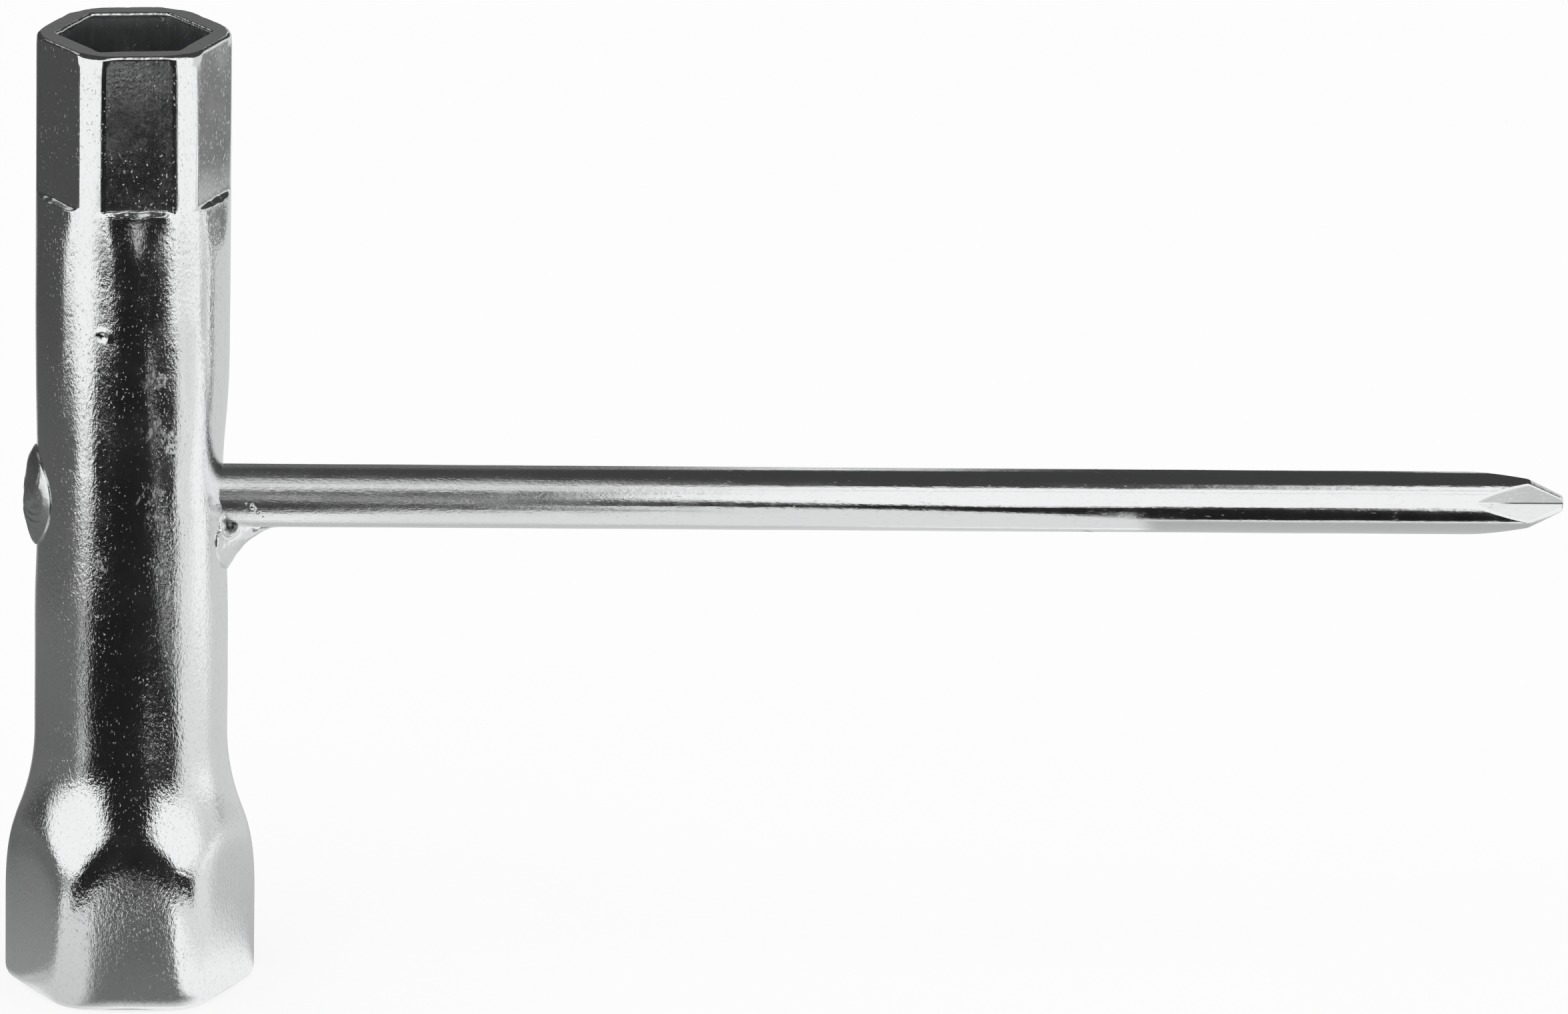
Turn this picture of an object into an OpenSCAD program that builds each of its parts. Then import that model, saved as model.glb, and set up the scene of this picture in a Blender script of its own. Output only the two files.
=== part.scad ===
// Welded T-handle box spanner: a steel tube with a pressed hexagon socket at each end, a round bar
// through its middle whose far end is a cross-slot screwdriver, and the two welds that hold the bar.
// The tube stands on +Z with its wide rim at z = 0, and the bar points along +X.

/* [Tube] */
// Overall length of the socket tube
tube_len = 97.5; // [85:0.5:130]
// Outside diameter of the plain tube
tube_od = 19; // [18.5:0.25:20.5]
// Wall of the plain tube
tube_wall = 1.9; // [1.5:0.1:2.3]

/* [Narrow socket] */
// Across flats of the nut that the narrow end takes
narrow_af = 13; // [10:1:14]
// Wall at the middle of a narrow flat
narrow_wall = 2.2; // [1.8:0.05:2.4]
// Length of the flats pressed into the narrow end
narrow_grip = 16; // [10:1:24]
// Outside corner radius of the narrow hexagon
narrow_corner_r = 3.3; // [1.5:0.1:4]

/* [Wide socket] */
// Across flats of the nut that the wide end takes
wide_af = 19; // [18:1:22]
// Wall at the middle of a wide flat, thinned by the widening
wide_wall = 1.75; // [1.4:0.05:2.2]
// Length over which the corners of the wide hexagon run straight
wide_grip = 9; // [7:0.5:16]
// Length over which the tube widens from round to hexagon
flare_len = 17; // [10:0.5:20]
// Outside corner radius of the wide hexagon
wide_corner_r = 3.5; // [1.5:0.1:4.5]

/* [Bar] */
// Diameter of the bar
bar_d = 6.2; // [5:0.1:8]
// Height of the bar's axis above the wide rim
bar_height = 50.2; // [42:0.1:54]
// Reach of the screwdriver tip from the tube's axis
bar_reach = 141; // [90:1:200]

/* [Screwdriver tip] */
// Length of the cone that the four wings end in
point_len = 3.6; // [2:0.1:5]
// Diameter of the blunt end
blunt_d = 1.7; // [1:0.1:2.5]
// Length of the four flutes along the bar
flute_len = 9.1; // [7:0.1:12]
// Turn of the flutes about the bar, by which one of them looks upwards from the front
tip_turn = 18; // [0:1:45]
// Opening angle of a flute
flute_angle = 134; // [120:1:140]
// Diameter of the core between the flutes at the blunt end
core_d = 1.2; // [0.8:0.1:1.6]

/* [Welds] */
// Length of the fillet weld along the underside of the bar
fillet_along_bar = 5.5; // [3:0.1:8]
// Length of the fillet weld down the tube, below the bar
fillet_along_tube = 4.1; // [3:0.1:7]
// Height above the bar's axis to which the fillet weld climbs
fillet_climb = 1; // [0.5:0.1:2]
// Height of the end weld's dome over the tube
end_weld_rise = 1.4; // [0.8:0.1:2]
// Lap of the end weld over the tube, above and below the bar
end_weld_lap = 1.9; // [1:0.1:3]
// Lap of the end weld over the tube, to either side of the bar
end_weld_side = 0.65; // [0.4:0.05:1.5]

/* [Clearances] */
// Play of a nut across the flats of either socket
socket_play = 0.1; // [0.05:0.05:0.3]
// Radial clearance of the bar in the holes of the tube
hole_play = 0.1; // [0.05:0.05:0.25]

/* [Hidden] */
$fn = 96;
plate = "silver";
weld_metal = "gainsboro";

// How far a cutting shape runs past the surface that it opens
overrun = 1;
// Gap between a revolved surface and the hexagon corner that it just clears
corner_relief = 0.05;
// Angle at which the arc of a hexagon's corner meets the flats
corner_crease = 4;
// Radius of the flare's two arcs, as a share of what would let them meet
bend_share = 0.85;
// Depth to which the flare's straight run cuts into its arcs
run_bite = 0.04;
// Depth at which the hollow face of the fillet weld ends below the bar's surface
toe_sink = 0.15;

tube_r = tube_od / 2;
bore_r = tube_r - tube_wall;
bar_r = bar_d / 2;
hole_r = bar_r + hole_play;

narrow_in = narrow_af + socket_play;
narrow_out = narrow_in + 2 * narrow_wall;
step_z = tube_len - narrow_grip;
// Inside, the pressed flats begin one wall deeper than they do outside
bore_top = step_z - tube_wall;

wide_in = wide_af + socket_play;
wide_out = wide_in + 2 * wide_wall;
flare_top = wide_grip + flare_len;
flare_out_r = corner_reach(wide_out, wide_corner_r) + corner_relief;
flare_in_r = corner_reach(wide_in, 0) + corner_relief;

// The bar's plain end lies level with the lowest point of the rim of its hole
bar_back = sqrt(tube_r * tube_r - bar_r * bar_r);
point_x = bar_reach - point_len;
core_r = core_d / 2;

// Distance from the axis to the corner of a hexagon whose corners are rounded
function corner_reach(across_flats, corner_r) =
    across_flats / sqrt(3) - corner_r * (2 * cos(corner_crease) / sqrt(3) - 1);

// Radius of the arc that stands a given rise above its chord
function arc_radius(chord, rise) = (chord * chord / 4 + rise * rise) / (2 * rise);

// Lays a shape that was built along Z along the bar, which runs along +X
module along_bar() {
    translate([0, 0, bar_height])
        rotate([0, 90, 0])
            children();
}

// Hexagon with corners on the X axis and flats that face -Y and +Y
module hexagon(across_flats) {
    circle(r = across_flats / sqrt(3), $fn = 6);
}

// The same hexagon with every corner rounded by an arc that crosses both its flats
module rounded_hexagon(across_flats, corner_r) {
    centre_r = corner_reach(across_flats, corner_r) - corner_r;
    foot_r = centre_r + corner_r * cos(corner_crease) * cos(30);
    intersection() {
        hexagon(across_flats);
        union() {
            rotate(30)
                hexagon(2 * foot_r);
            for (corner = [0:60:300])
                rotate(corner)
                    translate([centre_r, 0])
                        circle(r = corner_r);
        }
    }
}

// Half outline of a tube that widens downwards from small_r to large_r: two equal arcs, and between
// them a straight run that cuts a little into both
module widening_outline(small_r, large_r, bottom, top) {
    rise = large_r - small_r;
    bend_r = bend_share * (flare_len * flare_len + rise * rise) / (4 * rise);
    half_gap = norm([2 * bend_r - rise, flare_len]) / 2;
    miss = acos((bend_r - run_bite) / half_gap);
    run_lean = atan(flare_len / (2 * bend_r - rise)) - miss;
    half_run = half_gap * sin(miss) * [sin(run_lean), -cos(run_lean)];
    middle = [(small_r + large_r) / 2, wide_grip + flare_len / 2];
    difference() {
        union() {
            translate([0, bottom])
                square([large_r, wide_grip - bottom]);
            intersection() {
                translate([large_r - bend_r, wide_grip])
                    circle(r = bend_r);
                translate([0, wide_grip])
                    square([large_r, flare_len / 2]);
            }
            polygon([
                [0, (middle + half_run)[1]],
                middle + half_run,
                middle - half_run,
                [small_r + bend_r / 2, flare_top],
                [0, flare_top]
            ]);
            translate([0, flare_top])
                square([small_r, top - flare_top]);
        }
        translate([small_r + bend_r, flare_top])
            circle(r = bend_r);
    }
}

// What the press takes off the outside of the round tube to leave the narrow hexagon
module narrow_flats() {
    translate([0, 0, step_z])
        linear_extrude(narrow_grip + overrun)
            difference() {
                circle(r = tube_od);
                rounded_hexagon(narrow_out, narrow_corner_r);
            }
}

// Outside of the tube: a widened round tube, pressed to a hexagon at both ends
module tube_outside() {
    difference() {
        intersection() {
            rotate_extrude()
                widening_outline(tube_r, flare_out_r, 0, tube_len);
            translate([0, 0, -overrun])
                linear_extrude(tube_len + 2 * overrun)
                    rounded_hexagon(wide_out, wide_corner_r);
        }
        narrow_flats();
    }
}

// Inside of the tube: the wide socket and its taper, the bore, and the narrow socket
module tube_inside() {
    intersection() {
        rotate_extrude()
            widening_outline(bore_r, flare_in_r, -overrun, bore_top);
        translate([0, 0, -overrun])
            linear_extrude(bore_top + overrun)
                hexagon(wide_in);
    }
    translate([0, 0, bore_top - overrun])
        linear_extrude(tube_len - bore_top + 2 * overrun)
            hexagon(narrow_in);
}

module socket_tube() {
    color(plate)
        difference() {
            tube_outside();
            tube_inside();
            along_bar()
                cylinder(r = hole_r, h = tube_od + 2 * overrun, center = true);
        }
}

// One flute: a V groove whose root sinks from the bar's surface to the core at the blunt end
module flute() {
    sink_angle = atan((bar_r - core_r) / flute_len);
    half_width = bar_d * tan(flute_angle / 2);
    translate([core_r, 0, bar_reach])
        rotate([0, -sink_angle, 0])
            linear_extrude(4 * flute_len, center = true)
                polygon([[0, 0], [bar_d, half_width], [bar_d, -half_width]]);
}

module tommy_bar() {
    color(plate)
        along_bar()
            difference() {
                rotate_extrude()
                    polygon([
                        [0, -bar_back],
                        [bar_r, -bar_back],
                        [bar_r, point_x],
                        [blunt_d / 2, bar_reach],
                        [0, bar_reach]
                    ]);
                for (turn = [0:90:270])
                    rotate(turn - tip_turn)
                        flute();
            }
}

// Weld in the corner under the bar: a hollow-faced horn that narrows along the bar
module fillet_weld() {
    horn_r = (bar_r + fillet_along_tube + fillet_climb) / 2;
    horn_drop = horn_r - fillet_climb;
    toe_r = max(bar_r - horn_drop - toe_sink, corner_relief);
    toe_x = tube_r + fillet_along_bar;
    hollow_r = arc_radius(2 * fillet_along_bar, horn_r - toe_r);
    color(weld_metal)
        difference() {
            translate([0, 0, -horn_drop])
                along_bar()
                    rotate_extrude()
                        difference() {
                            square([horn_r, toe_x]);
                            translate([toe_r + hollow_r, toe_x])
                                circle(r = hollow_r);
                        }
            cylinder(r = tube_r, h = tube_len);
            along_bar()
                cylinder(r = bar_r, h = bar_reach);
        }
}

// Weld over the bar's plain end: a dome that fills the mouth of the hole and laps onto the tube
module end_weld() {
    half_side = bar_r + end_weld_side;
    chord_depth = tube_r + end_weld_rise - sqrt(tube_r * tube_r - half_side * half_side);
    dome_r = arc_radius(2 * half_side, chord_depth);
    dome_h = bar_d + 2 * end_weld_lap;
    crown_r = arc_radius(dome_h, end_weld_rise);
    color(weld_metal)
        difference() {
            translate([dome_r - tube_r - end_weld_rise, 0, bar_height])
                rotate_extrude()
                    intersection() {
                        translate([dome_r - crown_r, 0])
                            circle(r = crown_r);
                        translate([0, -dome_h / 2 - overrun])
                            square([dome_r, dome_h + 2 * overrun]);
                    }
            difference() {
                cylinder(r = tube_r, h = tube_len);
                along_bar()
                    translate([0, 0, -tube_od])
                        cylinder(r = hole_r, h = tube_od - bar_back);
            }
        }
}

socket_tube();
tommy_bar();
fillet_weld();
end_weld();
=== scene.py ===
import math

import bmesh
import bpy
from mathutils import Matrix, Vector, noise


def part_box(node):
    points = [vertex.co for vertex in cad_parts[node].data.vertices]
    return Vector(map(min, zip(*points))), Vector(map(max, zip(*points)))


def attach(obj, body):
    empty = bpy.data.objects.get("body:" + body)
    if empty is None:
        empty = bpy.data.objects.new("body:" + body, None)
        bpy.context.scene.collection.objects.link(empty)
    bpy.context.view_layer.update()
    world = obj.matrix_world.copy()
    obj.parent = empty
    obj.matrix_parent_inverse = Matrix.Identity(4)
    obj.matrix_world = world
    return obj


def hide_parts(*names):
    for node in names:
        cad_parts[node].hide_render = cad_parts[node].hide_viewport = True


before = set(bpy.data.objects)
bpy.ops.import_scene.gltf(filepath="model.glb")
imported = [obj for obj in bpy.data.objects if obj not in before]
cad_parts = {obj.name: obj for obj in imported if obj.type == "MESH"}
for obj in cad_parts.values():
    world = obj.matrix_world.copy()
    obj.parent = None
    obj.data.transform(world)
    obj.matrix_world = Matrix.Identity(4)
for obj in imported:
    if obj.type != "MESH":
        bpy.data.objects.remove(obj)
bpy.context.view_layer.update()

MM = 0.001
UP = Vector((0, 0, 1))

# Places and sizes read from the frame
tube_low, tube_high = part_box("socket_tube")
bar_low, bar_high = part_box("tommy_bar")
corner_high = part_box("fillet_weld")[1]
cap_low, cap_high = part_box("end_weld")
TUBE_TOP = tube_high.z
WIDE_OUT = tube_high.y - tube_low.y
BAR_Z = (bar_low.z + bar_high.z) / 2
BAR_R = (bar_high.z - bar_low.z) / 2

# The pressed tube
TUBE_R = 9.5 * MM
BORE_R = 7.6 * MM
TUBE_WALL = 1.9 * MM
NARROW_OUT = 17.5 * MM
NARROW_IN = 13.1 * MM
NARROW_CORNER = 3.3 * MM
NARROW_EDGE = 0.14 * MM
NARROW_DEPTH = 16 * MM
NARROW_TURN = math.radians(4)
WIDE_IN = 19.1 * MM
WIDE_CORNER = 3.5 * MM
WIDE_DEPTH = 9 * MM
FLARE_LENGTH = 17 * MM
FLARE_TOP = WIDE_DEPTH + FLARE_LENGTH
FLARE_BLEND = 0.9 * MM
FLARE_SPARE = 0.1 * MM
SOCKET_SPARE = 0.14 * MM
SOCKET_CORNER = 0.4 * MM
SOCKET_EDGE = 0.1 * MM
STEP_Z = TUBE_TOP - NARROW_DEPTH
BORE_TOP = STEP_Z - TUBE_WALL
MOUTH_R = 9.2 * MM
MOUTH_SLOPE = 0.8
MOUTH_EDGE = 0.3 * MM
FOOT_ROUND = 1.15 * MM
MOUTH_ROUND = 0.34 * MM
LEAD_ROUND = 0.3 * MM

# Dents that the punch for the bar's holes left, and slow waves of the drawn tube
PUNCH_EDGE = 2.6 * MM
PUNCH_ABOVE = 17 * MM
PUNCH_BELOW = 13 * MM
RIGHT_DENT = 0.62 * MM
RIGHT_DENT_TURN = math.radians(36)
LEFT_DENT = 0.2 * MM
LEFT_DENT_TURN = math.radians(38)
LONG_WAVE = 9 * MM
LONG_WAVE_RISE = 0.055 * MM
SHORT_WAVE = 4 * MM
SHORT_WAVE_RISE = 0.012 * MM

# The dent below the shoulder, its ragged line, and the pit struck into the tube's front
SHOULDER_DENT = 0.2 * MM
SHOULDER_RAGS = 0.14 * MM
PIT_TURN = math.radians(-107.5)
PIT_Z = 69.2 * MM
PIT_DEPTH = 0.16 * MM
PIT_R = 0.3 * MM
PIT_BAND = 1.2 * MM
BURR_RISE = 0.1 * MM
BURR_R = 0.62 * MM
BURR_WIDTH = 0.2 * MM

# The bar's cross tip
POINT_LENGTH = 3.6 * MM
BLUNT_R = 0.85 * MM
CORE_R = 0.6 * MM
FLUTE_LENGTH = 9.1 * MM
FLUTE_HALF_ANGLE = math.radians(67)
FLUTE_SINK = math.atan((BAR_R - CORE_R) / FLUTE_LENGTH)
TIP_TURN = math.radians(18)
TIP_ROUND = 0.25 * MM
TIP_EDGE = 0.11 * MM
CONE_EDGE = 0.15 * MM
SHANK_END = bar_high.x - FLUTE_LENGTH - 1.2 * MM

# The weld under the bar, with its crater, where its plating has painted shade, and a pit beside it
WELD_ROOT = TUBE_R - 2.6 * MM
WELD_DROP = 3.55 * MM
WELD_R = 3.75 * MM
WELD_TOE_R = 0.1 * MM
WELD_WIDTH = 1.2
WELD_CRATER = Vector((10.0 * MM, -2.75 * MM, BAR_Z - 1.95 * MM))
CRATER_R = 0.62 * MM
CRATER_DEPTH = 0.8 * MM
CRATER_ROUGHNESS = 0.12 * MM
CRATER_RIM = 0.17 * MM
WELD_PIT = Vector((8.5 * MM, -4.2 * MM, BAR_Z - 2.2 * MM))
WELD_PIT_SIZE = 0.35 * MM
WELD_RIPPLE = 0.03 * MM

# Beads of weld spatter: place along the bar, lift above its axis, and radius, in mm
SPATTER = ((11.8, -0.35, 0.4), (12.45, -0.9, 0.25), (12.9, -1.3, 0.14), (11.2, 0.1, 0.14))

# The weld over the bar's plain end
CAP_SINK = 0.25 * MM
CAP_FRONT_LAP = 1.36
CAP_BACK = 1.2 * MM
CAP_RINGS = 6.5

# Fineness of the meshes
STEPS_AROUND = 288
CORNER_STEPS = 5
SHARP_ANGLE = math.radians(38)
MERGE = 0.0005 * MM

# How often each pattern of the plating repeats in a metre
PATCHES = 150
HAZE = 260
SWIRLS = 520
PEEL = 620
STRAYS = 700
CRATER_SHADE_EDGE = 2400
RAGS = 3000
SCUFF_GRAIN = 3200
DRAWN_LINES = 3400
SAND = 3500
SPECKS = 4200
WORN_GRAIN = 5000

# Tones of the plating, and the make of its drawing lines and peel, with depths in micrometres
BRIGHT_PLATE = (0.88, 0.89, 0.895, 1)
DULL_PLATE = (0.55, 0.56, 0.57, 1)
# Painted shade tone, laid into the weld's crater and along the flute roots
PAINTED_SHADE_TONE = (0.16, 0.16, 0.165, 1)
LINE_STRETCH = 0.04
PEEL_DEPTH = 8
LINE_DEPTH = 6

# The dull inside of the tube: its outer bound, which widens towards the foot, and the lip left bright
DULL_R = 8.1 * MM
DULL_WIDENING = 3.05 * MM
DULL_WIDE_TOP = 25 * MM
BRIGHT_LIP = (0.3 * MM, 0.7 * MM)

# The photograph's viewpoint
PICTURE_WIDTH = 2352
VIEW_AZIMUTH = math.radians(-2.876)
VIEW_ELEVATION = math.radians(18.421)
VIEW_ROLL = math.radians(1.277)
VIEW_DISTANCE = 1228.55 * MM
VIEW_TARGET = Vector((64, 0, 50.5)) * MM
VIEW_SHIFT = (0.07 * MM, -1.123 * MM)
PIXELS_PER_MM = 15.243
SENSOR_WIDTH = 36

# The studio, in metres, and the glow of its air and room
FLOOR_HALF = 8
PAPERS_HALF = 1.7
ROOM_R = 1.6
ROOM_GLOW = 0.052
AIR_GLOW = 0.9
FLOOR_WHITE = 0.8
LAMP_PLACE = Vector((-0.2, -0.5, 1.4))

# Glows of a card at its lower and upper edge, and which way its face and its upper side look
WHITE = (0.98, 0.98)
BLACK = (0.012, 0.012)
UPRIGHT = (0, 0, 1)
FACES_BACK = ((0, 1, 0), UPRIGHT)
FACES_FRONT = ((0, -1, 0), UPRIGHT)
HANGS_IN_FRONT = ((0, 0.3, -0.95), (0, 0.95, 0.3))
LIES_FLAT = ((0, 0, 1), (0, 1, 0))
SLAT_LEAN = 0.05
SLAT_END = 260


class Wire:
    """A shader socket that takes part in sums as a number does."""

    def __init__(self, bench, socket):
        self.bench = bench
        self.socket = socket

    def _sum(self, operation, first, second):
        return self.bench.add("ShaderNodeMath", {"operation": operation}, {0: first, 1: second})

    def __add__(self, other):
        return self._sum("ADD", self, other)

    def __radd__(self, other):
        return self._sum("ADD", other, self)

    def __sub__(self, other):
        return self._sum("SUBTRACT", self, other)

    def __rsub__(self, other):
        return self._sum("SUBTRACT", other, self)

    def __mul__(self, other):
        return self._sum("MULTIPLY", self, other)

    def __rmul__(self, other):
        return self._sum("MULTIPLY", other, self)

    def __truediv__(self, other):
        return self._sum("DIVIDE", self, other)

    def __rtruediv__(self, other):
        return self._sum("DIVIDE", other, self)

    def __pow__(self, other):
        return self._sum("POWER", self, other)

    def __rpow__(self, other):
        return self._sum("POWER", other, self)

    def __abs__(self):
        return self.bench.add("ShaderNodeMath", {"operation": "ABSOLUTE"}, {0: self})

    def least(self, other):
        return self._sum("MINIMUM", self, other)

    def most(self, other):
        return self._sum("MAXIMUM", self, other)

    def fade(self, low, high):
        """0 below low and 1 above high, or the reverse where low is the greater, with soft ends."""
        settings = {"interpolation_type": "SMOOTHSTEP"}
        if low < high:
            ends = {"From Min": low, "From Max": high, "To Min": 0, "To Max": 1}
        else:
            ends = {"From Min": high, "From Max": low, "To Min": 1, "To Max": 0}
        return self.bench.add("ShaderNodeMapRange", settings, {"Value": self, **ends}, "Result")


class Bench:
    """The node tree of one material or of the world."""

    def __init__(self, owner):
        owner.use_nodes = True
        self.tree = owner.node_tree
        self.tree.nodes.clear()

    def add(self, kind, settings=None, sockets=None, output=0):
        """Adds a node, sets it, then fills or links its sockets, and gives one of its outputs."""
        node = self.tree.nodes.new(kind)
        for name, value in (settings or {}).items():
            setattr(node, name, value)
        for name, value in (sockets or {}).items():
            if isinstance(value, Wire):
                self.tree.links.new(value.socket, node.inputs[name])
            else:
                node.inputs[name].default_value = value
        if not node.outputs:
            return None
        return Wire(self, node.outputs[output])

    def place(self):
        return self.add("ShaderNodeTexCoord", output="Object")

    def axis(self, place, letter):
        return self.add("ShaderNodeSeparateXYZ", {}, {"Vector": place}, letter)

    def away(self, place, point):
        """Distance from a point."""
        sockets = {0: place, 1: point}
        return self.add("ShaderNodeVectorMath", {"operation": "DISTANCE"}, sockets, "Value")

    def angle(self, aside, ahead):
        return self.add("ShaderNodeMath", {"operation": "ARCTAN2"}, {0: aside, 1: ahead})

    def stretched(self, place, scale):
        sockets = {"Vector": place, "Scale": scale}
        return self.add("ShaderNodeMapping", {"vector_type": "POINT"}, sockets)

    def noise(self, place, scale, detail=2.0, roughness=0.5, distortion=0.0):
        sockets = {
            "Vector": place,
            "Scale": scale,
            "Detail": detail,
            "Roughness": roughness,
            "Distortion": distortion,
        }
        return self.add("ShaderNodeTexNoise", {"noise_dimensions": "3D"}, sockets, "Fac")

    def blend(self, factor, first, second):
        settings = {"data_type": "RGBA", "blend_type": "MIX"}
        return self.add("ShaderNodeMix", settings, {0: factor, 6: first, 7: second}, 2)

    def finish(self, shader):
        self.add("ShaderNodeOutputMaterial", {}, {"Surface": shader})

    def finish_card(self, cover, tone):
        """Ends a studio card's material, which glows where it is covered and is clear elsewhere."""
        light = self.add("ShaderNodeEmission", {}, {"Color": tone, "Strength": 1.0})
        clear = self.add("ShaderNodeBsdfTransparent")
        self.finish(self.add("ShaderNodeMixShader", {}, {0: cover, 1: clear, 2: light}))


def plated_steel(
    name,
    along,
    sand_depth,
    speck_depth,
    shine=0.085,
    grain=0.25,
    scuff_spots=None,
    worn_end=None,
    socketed=False,
    crater_shade=None,
    shaded_roots=False,
):
    """Bright plating over drawn steel: fibrous grain, pits, orange peel, drawing lines and scuffs.

    Along shrinks the pattern on the axis that the metal was drawn on. Depths are in micrometres.
    Shine is the clean plate's roughness, and grain is how much the grain dulls its colour.
    Scuff_spots are places on the tube's front where rub marks crowd, and worn_end is the stretch of
    the bar over which its rough end fades out. Socketed plating is dull inside the tube, coarser on
    its lower half and smoother on its pressed flats. The crater point is the middle of painted shade
    in the weld's crater, and the root switch paints shade as dark lines along the tip's flute roots.
    """
    material = bpy.data.materials.new(name)
    bench = Bench(material)
    place = bench.place()
    fibres = bench.stretched(place, along)
    drawn = bench.stretched(place, [part if part == 1 else part * LINE_STRETCH for part in along])

    patches = bench.noise(place, PATCHES, 2.0, 0.6).fade(0.38, 0.66)
    sand = bench.noise(fibres, SAND, 2.5, 0.6)
    specks = bench.noise(fibres, SPECKS, 1.0, 0.5, 0.3).fade(0.65, 0.74) * (patches * 0.7 + 0.3)
    peel = bench.noise(place, PEEL, 2.0)
    lines = bench.noise(drawn, DRAWN_LINES, 2.0, 0.6)
    height = sand * (sand_depth * (patches * 0.7 + 0.75)) + peel * PEEL_DEPTH + lines * LINE_DEPTH
    haze = bench.noise(place, HAZE, 3.0, 0.6).fade(0.35, 0.75)
    roughness = haze * 0.05 + shine + specks * 0.22
    dull = (specks * 0.12).most(sand.fade(0.5, 0.72) * grain)
    if worn_end:
        worn = bench.axis(place, "X").fade(worn_end[1] * MM, worn_end[0] * MM)
        height = height + worn * (bench.noise(fibres, WORN_GRAIN, 2.0, 0.6) * 24 + lines * 9)
        roughness = roughness + worn * 0.15
    if scuff_spots:
        scuffs = scuffed(bench, place, scuff_spots)
        height = height + scuffs * bench.noise(place, SCUFF_GRAIN, 2.0) * 12
        roughness = roughness + scuffs * 0.36
        dull = dull.most(scuffs * 0.2)
    if socketed:
        z = bench.axis(place, "Z")
        inside = tube_inside(bench, place)
        roughness = roughness + inside * 0.2
        dull = dull.most(inside * (lines * 0.5 + 0.6))
        height = height + sand * z.fade(56 * MM, 44 * MM) * (sand_depth * 1.1)
        pressed = z.fade(STEP_Z - 0.5 * MM, STEP_Z + 1 * MM)
        height = height * (1 - pressed * 0.8) + lines * pressed * 3
    height = height - specks * speck_depth
    sockets = {"Strength": 1.0, "Distance": 0.001 * MM, "Height": height}
    bump = bench.add("ShaderNodeBump", {}, sockets)
    colour = bench.blend(dull, BRIGHT_PLATE, DULL_PLATE)
    # Painted shade in the weld's crater: dark round its middle, with a ragged edge
    if crater_shade:
        away = bench.away(place, crater_shade) + (bench.noise(place, CRATER_SHADE_EDGE, 2.0) - 0.5) * (1.2 * MM)
        colour = bench.blend(away.fade(1.5 * MM, 0.85 * MM), colour, PAINTED_SHADE_TONE)
    # Painted shade: dark lines along the roots of the tip's flutes
    if shaded_roots:
        colour = bench.blend(root_shade_mask(bench, place), colour, PAINTED_SHADE_TONE)
    sockets = {"Base Color": colour, "Metallic": 1.0, "Roughness": roughness, "Normal": bump}
    bench.finish(bench.add("ShaderNodeBsdfPrincipled", {}, sockets))
    return material


def scuffed(bench, place, spots):
    """Ragged rub marks, crowded round a few spots on the tube's front and rare elsewhere."""
    swirl = bench.noise(bench.stretched(place, (1, 1, 0.4)), SWIRLS, 4.0, 0.62, 1.0)
    ragged = bench.noise(bench.stretched(place, (1, 1, 0.5)), RAGS, 3.0, 0.62).fade(0.36, 0.62)
    rubs = abs(swirl - 0.5).fade(0.09, 0.02) * ragged
    stray = bench.noise(place, STRAYS, 2.0) - 0.5
    crowd = 0.06
    for x, z, size in spots:
        middle = Vector((x * MM, -math.sqrt(TUBE_R ** 2 - (x * MM) ** 2), z * MM))
        away = bench.away(place, middle) + stray * (size * 1.6 * MM)
        crowd = away.fade(size * MM, size * 0.35 * MM).most(crowd)
    return rubs * crowd


def tube_inside(bench, place):
    """1 on the inside of the tube and 0 on its outside and its lip."""
    x = bench.axis(place, "X")
    y = bench.axis(place, "Y")
    z = bench.axis(place, "Z")
    bound = z.fade(DULL_WIDE_TOP, WIDE_DEPTH) * DULL_WIDENING + DULL_R
    inside = (bound - (x * x + y * y) ** 0.5).fade(0.0, 0.15 * MM)
    return inside * z.fade(TUBE_TOP - BRIGHT_LIP[0], TUBE_TOP - BRIGHT_LIP[1])


def root_shade_mask(bench, place):
    """1 along the roots of the tip's four flutes, where shade is painted dark, and 0 elsewhere."""
    x = bench.axis(place, "X")
    y = bench.axis(place, "Y")
    lift = bench.axis(place, "Z") - BAR_Z
    turn = bench.angle(lift, 0 - y) - TIP_TURN
    off = bench.add("ShaderNodeMath", {"operation": "PINGPONG"}, {0: turn, 1: math.radians(45)})
    across = off * (y * y + lift * lift) ** 0.5
    reached = x.fade(bar_high.x - 7 * MM, bar_high.x - 5 * MM)
    return across.fade(0.1 * MM, 0.05 * MM) * reached


def add_piece(name, bm, finish, node):
    """Turns a bmesh into a piece of the wrench that stands for a node."""
    bmesh.ops.recalc_face_normals(bm, faces=bm.faces)
    mesh = bpy.data.meshes.new(name)
    bm.to_mesh(mesh)
    bm.free()
    mesh.shade_smooth()
    mesh.set_sharp_from_angle(angle=SHARP_ANGLE)
    piece = set_out(name, mesh, finish)
    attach(piece, "root")
    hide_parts(node)


def set_out(name, mesh, material):
    """Puts a mesh with its material into the scene."""
    mesh.materials.append(material)
    thing = bpy.data.objects.new(name, mesh)
    bpy.context.scene.collection.objects.link(thing)
    return thing


def spread(start, end, step):
    """Even values from start up to, but not including, end."""
    count = max(1, round(abs(end - start) / step))
    return [start + (end - start) * i / count for i in range(count)]


def smooth(low, high, value):
    """0 at low and 1 at high, with soft ends. Low may be the greater."""
    share = min(1.0, max(0.0, (value - low) / (high - low)))
    return share * share * (3 - 2 * share)


def bump_at(value, width):
    """1 at a value of 0, and less the further the value is from it."""
    return math.exp(-((value / width) ** 2))


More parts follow.
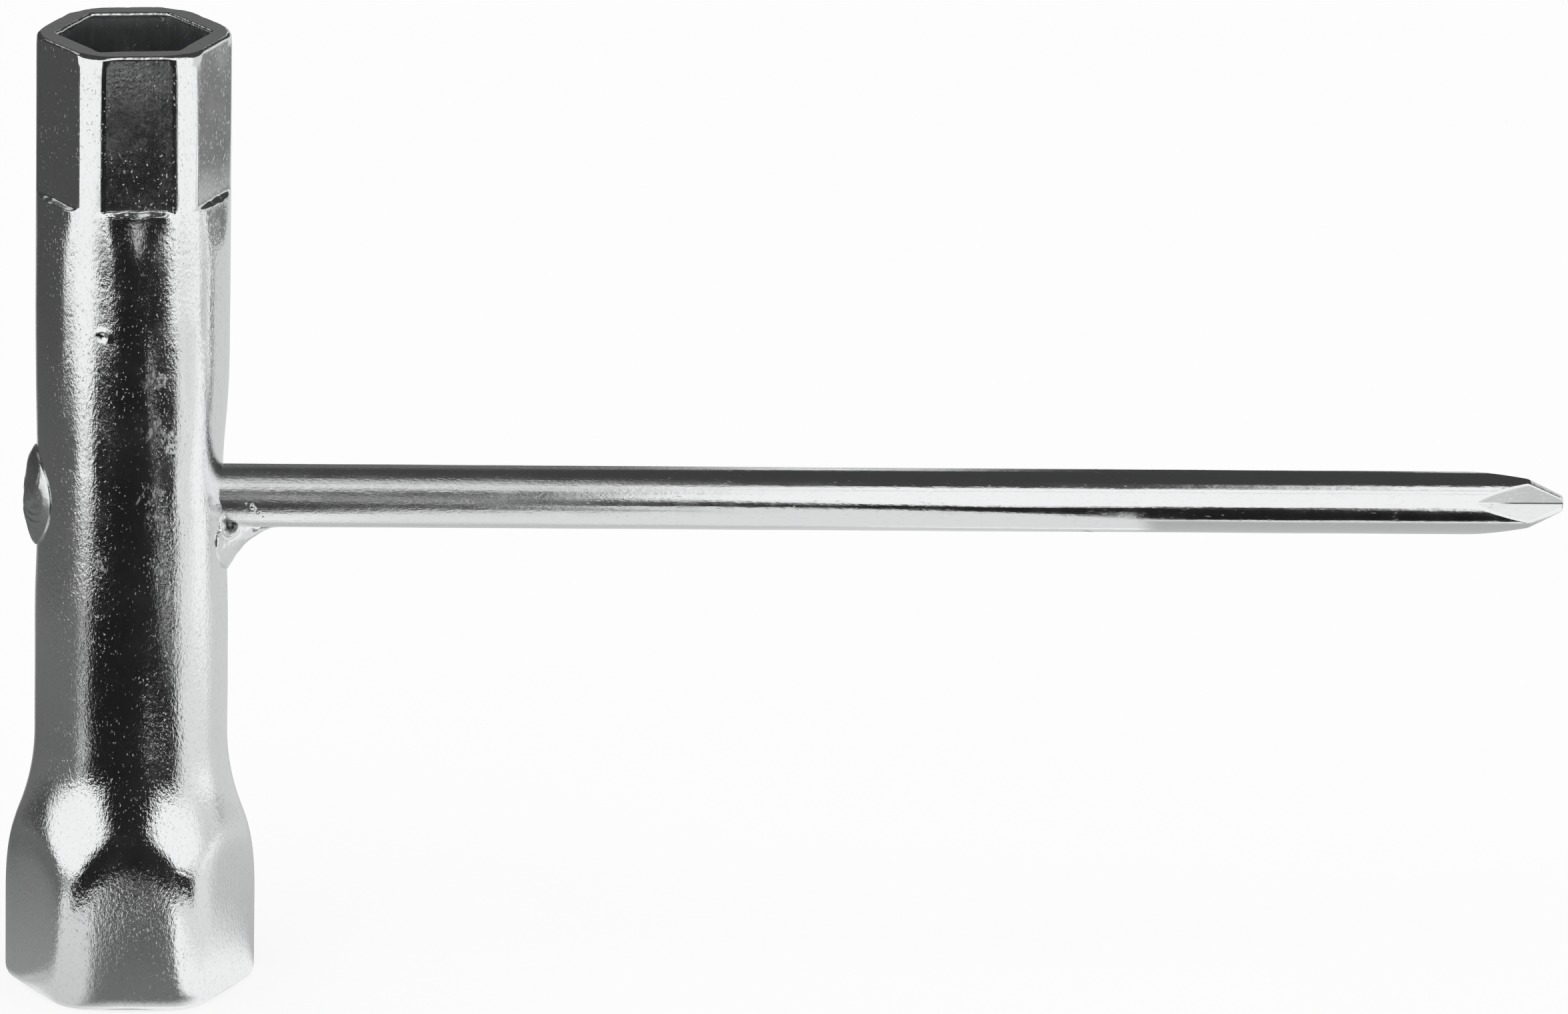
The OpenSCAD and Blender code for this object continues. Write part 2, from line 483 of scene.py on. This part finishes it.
def soft_least(a, b, width):
    """The lesser of two lengths, with the corner between them rounded over."""
    share = max(0.0, 1 - abs(a - b) / width)
    return min(a, b) - width * share * share / 4


def ring(turn):
    """The point at a turn round the tube's axis, on a circle of radius 1."""
    return Vector((math.cos(turn), math.sin(turn), 0))


def from_turn(turn, start):
    """How far a turn is past another one, from half a turn before it to half a turn after it."""
    return (turn - start + math.pi) % (2 * math.pi) - math.pi


def hexagon_reach(across, corner):
    """Distance from the axis to the rounded corner of a hexagon."""
    return (across - 2 * corner) / math.sqrt(3) + corner


def hexagon_radius(turn, across, corner):
    """Distance from the axis to a hexagon with rounded corners on the X axis."""
    sixth = math.radians(60)
    half = sixth / 2
    off = abs((turn + half) % sixth - half)
    centre = hexagon_reach(across, corner) - corner
    tangent = math.atan2(corner * math.sin(half), centre + corner * math.cos(half))
    if off > tangent:
        return across / 2 / math.cos(half - off)
    return centre * math.cos(off) + math.sqrt(corner ** 2 - (centre * math.sin(off)) ** 2)


def flare_radius(z, small, large):
    """A tube that widens downwards through two equal arcs."""
    rise = large - small
    bend = (FLARE_LENGTH ** 2 + rise ** 2) / (4 * rise)
    if z < WIDE_DEPTH:
        return large
    if z < WIDE_DEPTH + FLARE_LENGTH / 2:
        return large - (bend - math.sqrt(bend ** 2 - (z - WIDE_DEPTH) ** 2))
    if z < FLARE_TOP:
        return small + (bend - math.sqrt(bend ** 2 - (FLARE_TOP - z) ** 2))
    return small


def press_marks(turn, z):
    """How far the punch for the bar's holes pressed the wall in, with slight waves of the tube."""
    to_right = abs(from_turn(turn, 0))
    to_left = math.pi - to_right
    above = smooth(BAR_Z + PUNCH_ABOVE, BAR_Z + PUNCH_EDGE, z)
    below = smooth(BAR_Z - PUNCH_BELOW, BAR_Z - PUNCH_EDGE, z)
    depth = RIGHT_DENT * bump_at(to_right, RIGHT_DENT_TURN) * (above ** 1.6 if z > BAR_Z else 0.35 * below)
    depth += LEFT_DENT * bump_at(to_left, LEFT_DENT_TURN) * (above if z > BAR_Z else below)
    around = ring(turn) * 1.1
    calm = smooth(FLARE_TOP - 2 * MM, FLARE_TOP + 6 * MM, z)
    calm *= smooth(STEP_Z - 1 * MM, STEP_Z - 8 * MM, z)
    wave = noise.noise(around + UP * (z / LONG_WAVE)) * LONG_WAVE_RISE
    wave += noise.noise(around * 2 + UP * (z / SHORT_WAVE)) * SHORT_WAVE_RISE
    return depth + wave * calm


def flat_share(turn):
    """1 at the middle of a hexagon's flat and 0 at its corners."""
    return 0.5 - 0.5 * math.cos(6 * turn)


def struck_pit(turn, z):
    """A pit in the tube's front with a burr thrown up on its upper right."""
    across = from_turn(turn, PIT_TURN) * TUBE_R
    up = z - PIT_Z
    away = math.hypot(across, up)
    hollow = -PIT_DEPTH * bump_at(away, PIT_R)
    burr = BURR_RISE * bump_at(away - BURR_R, BURR_WIDTH)
    return hollow + burr * smooth(-0.3, 0.8, (0.5 * across + 0.85 * up) / max(away, 0.01 * MM))


def outer_radius(turn, z):
    """The outside of the tube, from the flare at its foot to the bevel round its mouth."""
    wide = hexagon_radius(turn, WIDE_OUT, WIDE_CORNER)
    reach = hexagon_reach(WIDE_OUT, WIDE_CORNER) + FLARE_SPARE
    radius = soft_least(flare_radius(z, TUBE_R, reach), wide, FLARE_BLEND)
    narrow = hexagon_radius(turn - NARROW_TURN, NARROW_OUT, NARROW_CORNER)
    pressed = soft_least(TUBE_R, narrow, NARROW_EDGE)
    ragged = noise.noise(ring(turn) * 9) * SHOULDER_RAGS
    radius += (pressed - TUBE_R) * smooth(STEP_Z - 0.12 * MM, STEP_Z + 0.42 * MM, z + ragged)
    if z < STEP_Z:
        dent = flat_share(turn - NARROW_TURN) ** 1.5
        radius -= SHOULDER_DENT * dent * smooth(STEP_Z - 6.5 * MM, STEP_Z - 0.2 * MM, z) ** 2
    radius = soft_least(radius, MOUTH_R + (TUBE_TOP - z) * MOUTH_SLOPE, MOUTH_EDGE)
    return radius - press_marks(turn, z) + struck_pit(turn, z)


def inner_radius(turn, z):
    """The inside of the tube: the wide socket and its taper, the bore and the narrow socket."""
    wide = hexagon_radius(turn, WIDE_IN, SOCKET_CORNER)
    reach = hexagon_reach(WIDE_IN, SOCKET_CORNER) + SOCKET_SPARE
    radius = soft_least(flare_radius(z, BORE_R, reach), wide, FLARE_BLEND)
    narrow = hexagon_radius(turn - NARROW_TURN, NARROW_IN, SOCKET_CORNER)
    pressed = soft_least(BORE_R, narrow, SOCKET_EDGE)
    return radius + (pressed - BORE_R) * smooth(BORE_TOP - 0.5 * MM, BORE_TOP + 0.2 * MM, z)


def wall_path():
    """Stations round the wall: height, share of the way through the wall, and inset from its faces.

    They lie closer where the wall turns, and have no inset on the two end faces.
    """
    foot, mouth, lead = FOOT_ROUND, MOUTH_ROUND, LEAD_ROUND
    quarter = [math.radians(90) * i / CORNER_STEPS for i in range(CORNER_STEPS + 1)]
    path = [(foot - foot * math.cos(a), 0, foot - foot * math.sin(a)) for a in quarter]
    outside = spread(foot, 9 * MM, 0.85 * MM)[1:]
    outside += spread(9 * MM, 27.5 * MM, 0.36 * MM)
    outside += spread(27.5 * MM, PIT_Z - PIT_BAND, 0.75 * MM)
    outside += spread(PIT_Z - PIT_BAND, PIT_Z + PIT_BAND, 0.12 * MM)
    outside += spread(PIT_Z + PIT_BAND, STEP_Z - 0.6 * MM, 0.75 * MM)
    outside += spread(STEP_Z - 0.6 * MM, STEP_Z + 0.9 * MM, 0.075 * MM)
    outside += spread(STEP_Z + 0.9 * MM, TUBE_TOP - mouth - 0.1 * MM, 0.8 * MM)
    outside.append(TUBE_TOP - mouth - 0.1 * MM)
    path += [(z, 0, 0) for z in outside]
    path += [(TUBE_TOP - mouth + mouth * math.sin(a), 0, mouth - mouth * math.cos(a)) for a in quarter]
    path += [(TUBE_TOP, share, None) for share in (0.25, 0.5, 0.75)]
    path += [(TUBE_TOP - lead + lead * math.cos(a), 1, lead - lead * math.sin(a)) for a in quarter]
    inside = spread(TUBE_TOP - lead, BORE_TOP + 0.4 * MM, 1.2 * MM)[1:]
    inside += spread(BORE_TOP + 0.4 * MM, BORE_TOP - 0.7 * MM, 0.1 * MM)
    inside += spread(BORE_TOP - 0.7 * MM, 27 * MM, 2.5 * MM)
    inside += spread(27 * MM, 9 * MM, 0.6 * MM)
    inside += spread(9 * MM, lead, 1.2 * MM)
    path += [(z, 1, 0) for z in inside]
    path += [(lead - lead * math.sin(a), 1, lead - lead * math.cos(a)) for a in quarter]
    path += [(0.0, share, None) for share in (0.75, 0.5, 0.25)]
    return path


def pressed_tube(finish):
    """A sheet of faces rolled round the axis and through the wall, so that it closes on itself."""
    path = wall_path()
    bm = bmesh.new()
    bmesh.ops.create_grid(bm, x_segments=STEPS_AROUND, y_segments=len(path), size=0.5)
    for vert in bm.verts:
        turn = 2 * math.pi * round((vert.co.x + 0.5) * STEPS_AROUND) / STEPS_AROUND
        z, share, inset = path[round((vert.co.y + 0.5) * len(path)) % len(path)]
        if inset is None:
            outer = outer_radius(turn, z) - (MOUTH_ROUND if z > 0 else FOOT_ROUND)
            radius = outer + (inner_radius(turn, z) + LEAD_ROUND - outer) * share
        elif share == 0:
            radius = outer_radius(turn, z) - inset
        else:
            radius = inner_radius(turn, z) + inset
        if z > TUBE_TOP - MOUTH_ROUND:
            around = ring(turn)
            z -= abs(noise.noise(around * 4) * 0.1 + noise.noise(around * 19) * 0.03) * MM
            radius += noise.noise(around * 21 + UP * share) * 0.03 * MM
        vert.co = (radius * math.cos(turn), radius * math.sin(turn), z)
    bmesh.ops.remove_doubles(bm, verts=bm.verts, dist=MERGE)
    add_piece("pressed_tube", bm, finish, "socket_tube")


def tip_radius(x, turn):
    """The bar's radius: a shank and a cone, less four flutes that sink to the core at the blunt end."""
    left = bar_high.x - x
    cone = BLUNT_R + left * (BAR_R - BLUNT_R) / POINT_LENGTH
    radius = soft_least(BAR_R, cone, CONE_EDGE)
    if left < TIP_ROUND:
        radius -= TIP_ROUND - math.sqrt(TIP_ROUND ** 2 - (TIP_ROUND - left) ** 2)
    quarter = math.radians(90)
    off = abs((turn - TIP_TURN + quarter / 2) % quarter - quarter / 2)
    steep = math.sin(FLUTE_HALF_ANGLE)
    shallow = math.cos(FLUTE_HALF_ANGLE)
    depth = CORE_R * math.cos(FLUTE_SINK) + left * math.sin(FLUTE_SINK)
    wall = depth * steep / (math.cos(off) * math.cos(FLUTE_SINK) * steep - math.sin(off) * shallow)
    return soft_least(radius, wall, TIP_EDGE)


def driver_bar(finish):
    """A spun bar with the four flutes pressed into its tip, a little uneven as drawn bar is."""
    stations = spread(bar_low.x, SHANK_END, 2 * MM)
    stations += spread(SHANK_END, bar_high.x - TIP_ROUND, 0.06 * MM)
    stations += spread(bar_high.x - TIP_ROUND, bar_high.x, 0.03 * MM)
    outline = [(bar_low.x, 0)] + [(x, BAR_R) for x in stations + [bar_high.x]] + [(bar_high.x, 0)]
    bm = bmesh.new()
    chain = [bm.verts.new((x, -radius, 0)) for x, radius in outline]
    edges = [bm.edges.new(pair) for pair in zip(chain, chain[1:])]
    bmesh.ops.spin(
        bm,
        geom=chain + edges,
        cent=(0, 0, 0),
        axis=(1, 0, 0),
        angle=2 * math.pi,
        steps=STEPS_AROUND,
        use_merge=True,
    )
    bmesh.ops.remove_doubles(bm, verts=bm.verts, dist=2 * MERGE)
    for vert in bm.verts:
        x = vert.co.x
        out = Vector((0, vert.co.y, vert.co.z)) / BAR_R
        calm = smooth(SHANK_END, SHANK_END - 12 * MM, x)
        skin = noise.noise(vert.co / (5 * MM)) * 0.010 * MM * calm
        along = x / (11 * MM)
        bow = Vector((0, noise.noise((along, 0, 7)), noise.noise((along, 3, 0)))) * 0.02 * MM * calm
        radius = tip_radius(x, math.atan2(out.z, -out.y)) + skin
        vert.co = Vector((x, 0, BAR_Z)) + out * radius + bow
    add_piece("driver_bar", bm, finish, "tommy_bar")


def add_bead(bm, place, out, radius):
    """A drop of weld spatter that sits on a surface."""
    turn = out.to_track_quat("Z", "Y").to_matrix().to_4x4()
    matrix = Matrix.Translation(place) @ turn @ Matrix.Diagonal((1, 1.15, 0.72, 1))
    made = bmesh.ops.create_icosphere(bm, subdivisions=3, radius=radius, matrix=matrix)
    for vert in made["verts"]:
        vert.co += (vert.co - place) * noise.noise(vert.co / (0.35 * MM)) * 0.45


def weld_skin(spot):
    """How far the weld under the bar stands out at a spot: its crater, ripples, pit and lumps."""
    away = (spot - WELD_CRATER).length
    rough = noise.noise(spot / (0.22 * MM)) * CRATER_ROUGHNESS * smooth(0.9 * MM, 0.5 * MM, away)
    dip = -(CRATER_DEPTH + rough) * bump_at(away, CRATER_R)
    dip -= WELD_PIT_SIZE * bump_at((spot - WELD_PIT).length, WELD_PIT_SIZE)
    rim = CRATER_RIM * bump_at(away - 0.98 * MM, 0.26 * MM)
    ripple = WELD_RIPPLE * math.sin(2 * math.pi * away / (0.5 * MM))
    ripple *= smooth(0.9 * MM, 1.2 * MM, away) * smooth(2.3 * MM, 1.4 * MM, away)
    lump = noise.noise(spot / (1.7 * MM)) * 0.12 * MM + noise.noise(spot / (0.55 * MM)) * 0.035 * MM
    return dip + rim + ripple + lump


def corner_weld(finish):
    """The weld under the bar: a hollow-faced horn with a crater, and spatter on the bar."""
    toe = corner_high.x
    bm = bmesh.new()
    bmesh.ops.create_grid(bm, x_segments=240, y_segments=96, size=0.5)
    for vert in bm.verts:
        turn = 2 * math.pi * (vert.co.x + 0.5)
        share = vert.co.y + 0.5
        x = WELD_ROOT + (toe - WELD_ROOT) * share
        wall = math.sqrt(TUBE_R ** 2 - (WELD_WIDTH * WELD_R * math.cos(turn)) ** 2)
        reach = max(0.0, (x - wall) / (toe - wall))
        radius = WELD_TOE_R + (WELD_R - WELD_TOE_R) * (1 - reach) ** 2.5
        out = Vector((0.5 * (1 - reach), math.cos(turn), math.sin(turn))).normalized()
        axis_z = BAR_Z - WELD_DROP * (1 - 0.12 * reach)
        spot = Vector((x, radius * WELD_WIDTH * math.cos(turn), axis_z + radius * math.sin(turn)))
        vert.co = spot + out * weld_skin(spot) * smooth(1.0, 0.9, share)
    bmesh.ops.remove_doubles(bm, verts=bm.verts, dist=MERGE)
    bmesh.ops.holes_fill(bm, edges=[edge for edge in bm.edges if edge.is_boundary], sides=0)
    for x, lift, size in SPATTER:
        y = -math.sqrt(BAR_R ** 2 - (lift * MM) ** 2)
        out = Vector((0, y, lift * MM)).normalized()
        add_bead(bm, Vector((x * MM, y, BAR_Z + lift * MM)), out, size * MM)
    add_piece("corner_weld", bm, finish, "fillet_weld")


def cap_weld(finish):
    """The weld over the bar's plain end: a proud lens with fine fibres, and ripples on its lower side."""
    half_high = (cap_high.z - cap_low.z) / 2
    half_wide = (cap_high.y - cap_low.y) / 2
    proud = -cap_low.x - TUBE_R - CAP_SINK
    middle = (cap_high.z + cap_low.z) / 2
    bm = bmesh.new()
    bmesh.ops.create_uvsphere(bm, u_segments=160, v_segments=120, radius=1)
    for vert in bm.verts:
        y, z, out = vert.co.x, vert.co.y, vert.co.z
        flat = 1 - min(1.0, y * y + z * z)
        wide = half_wide * (1 + 0.1 * z) * (CAP_FRONT_LAP if y < 0 else 1.0)
        shell = math.sqrt(max(0.0, TUBE_R ** 2 - (y * wide) ** 2))
        rise = proud * flat ** 0.72 if out > 0 else -CAP_BACK * flat ** 0.5
        spot = Vector((0, y * wide, middle + z * half_high))
        lump = noise.noise(spot / (1.9 * MM)) * 0.14 + noise.noise(spot / (0.55 * MM)) * 0.03
        fibre = noise.noise(Vector((spot.y / (0.2 * MM), spot.z / (2.2 * MM), 0))) * 0.02
        rings = math.sin(2 * math.pi * math.hypot(y * 1.4 + 0.8, z - 0.55) * CAP_RINGS) * 0.04
        rings *= smooth(0.0, -0.35, z)
        if out > 0:
            rise += (lump + fibre + rings) * MM * smooth(0.0, 0.25, flat)
        vert.co = Vector((-(shell + rise), spot.y, spot.z))
    add_piece("cap_weld", bm, finish, "end_weld")


def camera():
    """The camera at the photograph's viewpoint."""
    back = Vector((
        math.sin(VIEW_AZIMUTH) * math.cos(VIEW_ELEVATION),
        -math.cos(VIEW_AZIMUTH) * math.cos(VIEW_ELEVATION),
        math.sin(VIEW_ELEVATION),
    ))
    level = Vector((math.cos(VIEW_AZIMUTH), math.sin(VIEW_AZIMUTH), 0))
    upright = back.cross(level)
    right = level * math.cos(VIEW_ROLL) + upright * math.sin(VIEW_ROLL)
    up = upright * math.cos(VIEW_ROLL) - level * math.sin(VIEW_ROLL)
    aim = VIEW_TARGET + right * VIEW_SHIFT[0] + up * VIEW_SHIFT[1]
    data = bpy.data.cameras.new("photo_camera")
    data.sensor_width = SENSOR_WIDTH
    data.lens = PIXELS_PER_MM * VIEW_DISTANCE / MM * SENSOR_WIDTH / PICTURE_WIDTH
    data.clip_start = 0.05
    data.clip_end = 30
    eye = bpy.data.objects.new("photo_camera", data)
    bpy.context.scene.collection.objects.link(eye)
    turn = Matrix((right, up, back)).transposed().to_4x4()
    eye.matrix_world = Matrix.Translation(aim + back * VIEW_DISTANCE) @ turn
    bpy.context.scene.camera = eye


def reflection_only(thing):
    """Leaves a studio card to the plating: the camera and the floor don't see it."""
    thing.visible_camera = False
    thing.visible_diffuse = False
    thing.visible_shadow = False
    thing.visible_transmission = False
    thing.visible_volume_scatter = False


def stage_grid(name, half):
    """A flat square sheet in the XY plane, ready for a material."""
    bm = bmesh.new()
    bmesh.ops.create_grid(bm, x_segments=1, y_segments=1, size=half)
    mesh = bpy.data.meshes.new(name)
    bm.to_mesh(mesh)
    bm.free()
    return mesh


def floor_papers(papers):
    """Papers on the floor, cut as ring sectors about the tube.

    Each has its near and far radius in mm, its left and right bearing from the front in degrees and
    its glow, these three at the near and the far radius, and the width of its soft edge in mm.
    """
    material = bpy.data.materials.new("floor_papers")
    bench = Bench(material)
    place = bench.place()
    x = bench.axis(place, "X")
    y = bench.axis(place, "Y")
    radius = (x * x + y * y) ** 0.5
    bearing = bench.angle(x, 0 - y)
    cover, tone = 0.0, 1.0
    for near, far, left, right, glow, feather in papers:
        share = (radius - near * MM) / ((far - near) * MM)
        from_left = bearing - (share * math.radians(left[1] - left[0]) + math.radians(left[0]))
        from_right = (share * math.radians(right[1] - right[0]) + math.radians(right[0])) - bearing
        inside = from_left.least(from_right) * radius
        inside = inside.least(radius - near * MM).least(far * MM - radius)
        inside = inside.fade(-0.5 * feather * MM, 0.5 * feather * MM)
        cover = inside.most(cover)
        tone = tone + inside * (share * (glow[1] - glow[0]) + glow[0] - tone)
    bench.finish_card(cover, tone)
    sheet = set_out("floor_papers", stage_grid("floor_papers", PAPERS_HALF), material)
    sheet.location.z = 0.3 * MM
    reflection_only(sheet)


def card(name, middle, facing_and_top, size, glow, feather, upper=None):
    """A studio card with soft edges, in mm. Its glow runs from its lower to its upper edge.

    Upper gives the left and right ends of the upper edge, where it isn't as wide as the lower one.
    """
    width, height = size
    facing = Vector(facing_and_top[0]).normalized()
    across = Vector(facing_and_top[1]).cross(facing).normalized()
    upwards = facing.cross(across)
    material = bpy.data.materials.new(name)
    bench = Bench(material)
    place = bench.place()
    x = bench.axis(place, "X")
    y = bench.axis(place, "Y")
    rise = y / (height * MM) + 0.5
    low_left, low_right = -width / 2 * MM, width / 2 * MM
    high_left, high_right = [end * MM for end in upper] if upper else (low_left, low_right)
    from_left = x - (rise * (high_left - low_left) + low_left)
    from_right = (rise * (high_right - low_right) + low_right) - x
    inside = from_left.least(from_right).least((height / 2 * MM) - abs(y))
    tone = rise.fade(0.0, 1.0) * (glow[1] - glow[0]) + glow[0]
    bench.finish_card(inside.fade(0.0, feather * MM), tone)
    mesh = stage_grid(name, 0.5)
    mesh.transform(Matrix.Diagonal((width * MM, height * MM, 1, 1)))
    thing = set_out(name, mesh, material)
    turn = Matrix((across, upwards, facing)).transposed().to_4x4()
    thing.matrix_world = Matrix.Translation(Vector(middle) * MM) @ turn
    reflection_only(thing)


def slat(x, start, end, top, glow):
    """A thin upright card in front of the bar, which sees it edge on while the tube sees its broad side."""
    middle = (x + SLAT_LEAN * (start + end) / 2, -(start + end) / 2, top / 2 - 3)
    card(f"slat_{x}", middle, ((-1, -SLAT_LEAN, 0), UPRIGHT), (end - start, top + 6), glow, 1.5)


def pale_floor():
    """A pale sheet that the camera and the plating see nearly white, with the wrench's soft shadow."""
    material = bpy.data.materials.new("pale_floor")
    bench = Bench(material)
    sockets = {"Base Color": (0.93, 0.93, 0.93, 1), "Roughness": 0.9, "Specular IOR Level": 0.1}
    sheet = bench.add("ShaderNodeBsdfPrincipled", {}, sockets)
    white = bench.add("ShaderNodeEmission", {}, {"Color": (1, 1, 1, 1), "Strength": 1.0})
    seen = bench.add("ShaderNodeLightPath", output="Is Camera Ray")
    for ray in ("Is Glossy Ray", "Is Transmission Ray"):
        seen = seen.most(bench.add("ShaderNodeLightPath", output=ray))
    bench.finish(bench.add("ShaderNodeMixShader", {}, {0: seen * FLOOR_WHITE, 1: sheet, 2: white}))
    set_out("pale_floor", stage_grid("pale_floor", FLOOR_HALF), material)


def dim_room():
    """A dark shell round the studio, which the plating shows where no card stands."""
    bm = bmesh.new()
    bmesh.ops.create_uvsphere(bm, u_segments=48, v_segments=24, radius=ROOM_R)
    mesh = bpy.data.meshes.new("dim_room")
    bm.to_mesh(mesh)
    bm.free()
    material = bpy.data.materials.new("dim_room")
    bench = Bench(material)
    bench.finish(bench.add("ShaderNodeEmission", {}, {"Color": (1, 1, 1, 1), "Strength": ROOM_GLOW}))
    reflection_only(set_out("dim_room", mesh, material))


def top_lamp():
    """A broad lamp above, which the plating doesn't show."""
    lamp = bpy.data.lights.new("top_lamp", "AREA")
    lamp.shape = "DISK"
    lamp.size = 0.9
    lamp.energy = 2.0
    hung = bpy.data.objects.new("top_lamp", lamp)
    hung.location = LAMP_PLACE
    hung.rotation_euler = (-LAMP_PLACE).to_track_quat("-Z", "Y").to_euler()
    hung.visible_glossy = False
    bpy.context.scene.collection.objects.link(hung)


def studio():
    """A pale floor in pale air, with the cards whose reflections draw the plating."""
    world = bpy.data.worlds.new("studio_air")
    bpy.context.scene.world = world
    bench = Bench(world)
    air = bench.add("ShaderNodeBackground", {}, {"Color": (1, 1, 1, 1), "Strength": AIR_GLOW})
    bench.add("ShaderNodeOutputWorld", {}, {"Surface": air})
    pale_floor()
    top_lamp()
    dim_room()

    # Softboxes to the left, to the right, in front, overhead and behind
    card("left_box", (-275, -185, 150), ((0.83, 0.56, 0), UPRIGHT), (574, 400), WHITE, 30)
    card("right_box", (256, -208, 150), ((-0.78, 0.63, 0), UPRIGHT), (320, 400), WHITE, 30)
    card("far_right_box", (301, 138, 70), ((-0.93, -0.37, 0), UPRIGHT), (710, 240), (0.7, 0.7), 20)
    card("front_box", (120, -340, 250), FACES_BACK, (520, 420), WHITE, 40)
    card("top_box", (90, -275, 455), HANGS_IN_FRONT, (800, 180), WHITE, 50)
    card("collar_box", (-5, -135, 480), HANGS_IN_FRONT, (130, 130), WHITE, 40)
    to_lower_right = ((0.57, -0.4, -0.72), UPRIGHT)
    card("left_high_box", (-230, 160, 330), to_lower_right, (190, 130), (0.6, 0.6), 30)
    to_lower_left = ((-0.48, 0.32, -0.82), (0, 1, 0))
    card("right_high_box", (371, -159, 455), to_lower_left, (170, 170), (0.9, 0.9), 30)
    card("bar_back_box", (90, 420, 170), FACES_FRONT, (70, 340), WHITE, 40)
    card("low_front_box", (160, -338, 20), FACES_BACK, (300, 160), WHITE, 12)
    to_tip = ((0, 0.2, -0.98), (0, 0.98, 0.2))
    card("tip_top_box", (205, -145, 500), to_tip, (130, 170), WHITE, 30)
    card("back_box", (-10, 420, 250), FACES_FRONT, (220, 330), (0.14, 0.14), 40)

    # Grey and black flags in front of the tube, the bar and its tip, and one beside the flare
    card("bar_grey_flag", (42, -200, 320), FACES_BACK, (40, 330), (0.16, 0.3), 14, (-20, 4))
    card("front_flag", (0, -80, 30), FACES_BACK, (156, 94), BLACK, 6, (4, 9))
    card("bar_flag", (60, -195, 48), FACES_BACK, (64, 134), BLACK, 10, (8, 32))
    card("mouth_flag", (10, -80, 83), FACES_BACK, (80, 62), BLACK, 4)
    card("tip_flag", (92, -215, 34), FACES_BACK, (70, 90), BLACK, 6, (26, 33))
    card("tip_low_flag", (138, -330, 8), FACES_BACK, (46, 40), BLACK, 5)
    card("seam_flag", (96.7, 26, 36), ((-1, SLAT_LEAN, 0), UPRIGHT), (9, 42), (0.03, 0.05), 2)

    # Black slats that close the tube's view to the right, and a pale one between them
    dark_slats = (
        (14, 48, 16),
        (27, 42, 16),
        (42, 28, 12),
        (60, 46, 9),
        (82, 58, 9),
        (108, 84, 9),
        (138, 94, 12),
    )
    for x, start, top in dark_slats:
        slat(x, start, SLAT_END, top, BLACK)
    slat(100, 28, 78, 24, (0.78, 0.78))

    # Black paper in front, grey paper and pale strips to the left, and paler paper behind
    floor_papers((
        (11, 54, (-76, -70), (-8, -8), (0.62, 0.75), 4),
        (52, 84, (-47, -50), (25, 20), BLACK, 5),
        (80, 130, (-51, -51), (20, 14), BLACK, 5),
        (126, 230, (-51, -43), (12, 8), BLACK, 5),
        (226, 262, (-48, -33), (10, 26), BLACK, 5),
        (258, 420, (-24, -20), (27, 23), BLACK, 5),
        (11, 60, (-160, -160), (-70, -64), (0.3, 0.13), 5),
        (56, 112, (-165, -165), (-63, -62), (0.13, 0.16), 5),
        (108, 152, (-165, -165), (-62, -60), (0.16, 0.115), 5),
        (148, 230, (-165, -165), (-60, -76), (0.115, 0.08), 5),
        (226, 1650, (-165, -165), (-86, -86), (0.075, 0.07), 5),
        (66, 160, (-64, -62), (-50, -49), (0.15, 0.12), 4),
        (157, 180, (-61, -60), (-49, -47), (0.12, 0.9), 4),
        (66, 165, (-59, -58), (-56, -55), (0.95, 0.9), 1.5),
        (11, 76, (96, 96), (181, 181), (0.5, 0.62), 5),
        (72, 150, (98, 104), (181, 181), (0.66, 0.66), 5),
        (146, 1650, (104, 104), (181, 181), (0.66, 0.66), 5),
        (11, 1650, (-181, -181), (-160, -165), (0.5, 0.66), 5),
    ))

    # Straight papers at the tube's foot, to the right and behind, and a raised one below the bar
    card("foot_paper", (1.5, -37, 0.7), LIES_FLAT, (15, 54), (0.04, 0.17), 3)
    card("tip_paper", (98, -179, 0.5), LIES_FLAT, (124, 292), BLACK, 8, (4, 62))
    card("wall_paper", (198, -85, 0.5), LIES_FLAT, (70, 120), (0.76, 0.76), 8)
    card("facet_paper", (193.5, -76.5, 0.8), LIES_FLAT, (18, 16), (0.56, 0.56), 3)
    card("bar_paper", (125, 3, 38), LIES_FLAT, (52, 27), (0.45, 0.6), 3)
    card("pale_paper", (68, -75, 0.15), LIES_FLAT, (104, 180), (0.78, 0.78), 10)
    turned_flat = ((0, 0, 1), (0.8, 0.6, 0))
    card("right_back_paper", (320, 200, 0.9), turned_flat, (330, 220), (0.19, 0.22), 10)


camera()
studio()

# Where rub marks crowd on the tube's front: place across and up the tube, and size, in mm
tube_scuffs = (
    (2.2, 65, 1.6),
    (1.7, 60, 1.7),
    (3.4, 58.5, 2.2),
    (1.4, 53, 1.8),
    (2.1, 50.5, 1.8),
    (3.5, 46, 1.6),
    (4.0, 42.5, 1.3),
    (-2.8, 46, 1.2),
)
tube_finish = plated_steel("tube_plating", (1, 1, 0.6), 17, 15, scuff_spots=tube_scuffs, socketed=True)
# The bar's plating paints shade along its flute roots, and the weld's plating paints shade in its crater
bar_finish = plated_steel("bar_plating", (0.35, 1, 1), 6, 2, grain=0.1, worn_end=(20, 78), shaded_roots=True)
weld_finish = plated_steel("weld_plating", (1, 1, 1), 5, 5, shine=0.19, crater_shade=WELD_CRATER)
pressed_tube(tube_finish)
driver_bar(bar_finish)
corner_weld(weld_finish)
cap_weld(weld_finish)

bpy.context.scene.view_settings.view_transform = "Standard"
